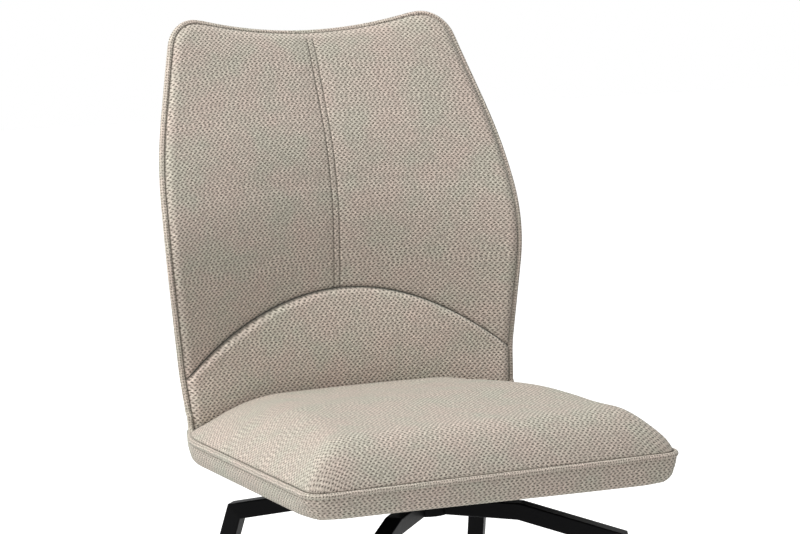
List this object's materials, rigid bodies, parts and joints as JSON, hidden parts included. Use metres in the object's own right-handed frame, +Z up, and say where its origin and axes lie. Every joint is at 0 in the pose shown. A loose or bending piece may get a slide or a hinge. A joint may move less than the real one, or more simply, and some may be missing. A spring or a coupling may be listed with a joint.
{
  "type": "swivel dining chair",
  "caption": "Upholstered dining chair with a hollowed, piped back and crowned seat that swivel on a hub with splayed bent square-tube legs.",
  "frame": {"origin": "on the floor, on the seat's swivel axis", "axes": "+Z up, the chair faces -Y, +X is the sitter's left"},
  "size_m": [0.481, 0.6336, 0.9472],
  "materials": {
    "upholstery": "coarse basket weave",
    "lining": "thin non-woven cloth",
    "plywood": "raw moulded plywood",
    "black_frame": "satin powder coat",
    "steel": "zinc plated",
    "nylon": "natural nylon",
    "black_plastic": "moulded"
  },
  "bodies": {
    "base": {"hub_tube": "black_frame", "upper_bush": "nylon", "lower_bush": "nylon", "thrust_washer": "steel", "return_spring": "steel", "stop_screw": "steel", "hub_cap": "black_plastic", "front_left_leg": "black_frame", "front_left_foot": "black_plastic", "front_right_leg": "black_frame", "front_right_foot": "black_plastic", "rear_left_leg": "black_frame", "rear_left_foot": "black_plastic", "rear_right_leg": "black_frame", "rear_right_foot": "black_plastic"},
    "seat": {"edge_piping": "upholstery", "seat_border": "upholstery", "seat_cushion": "upholstery", "seat_board": "plywood", "dust_cover": "lining", "lumbar_pad": "upholstery", "upper_pad_left": "upholstery", "upper_pad_right": "upholstery", "back_board": "plywood", "rear_cover": "upholstery", "back_bracket_left": "steel", "back_bracket_right": "steel", "bracket_screws": "steel", "board_nuts": "steel", "plate_bolts": "steel", "swivel_plate": "black_frame", "spindle": "steel", "retaining_ring": "steel"}
  },
  "joints": [
    {"name": "seat_swivel", "type": "hinge", "parent": "base", "child": "seat", "pos_m": [0, 0, 0.428], "axis": [0, 0, 1], "range_deg": [-90, 90], "stiffness_Nm_per_rad": 1.5}
  ]
}
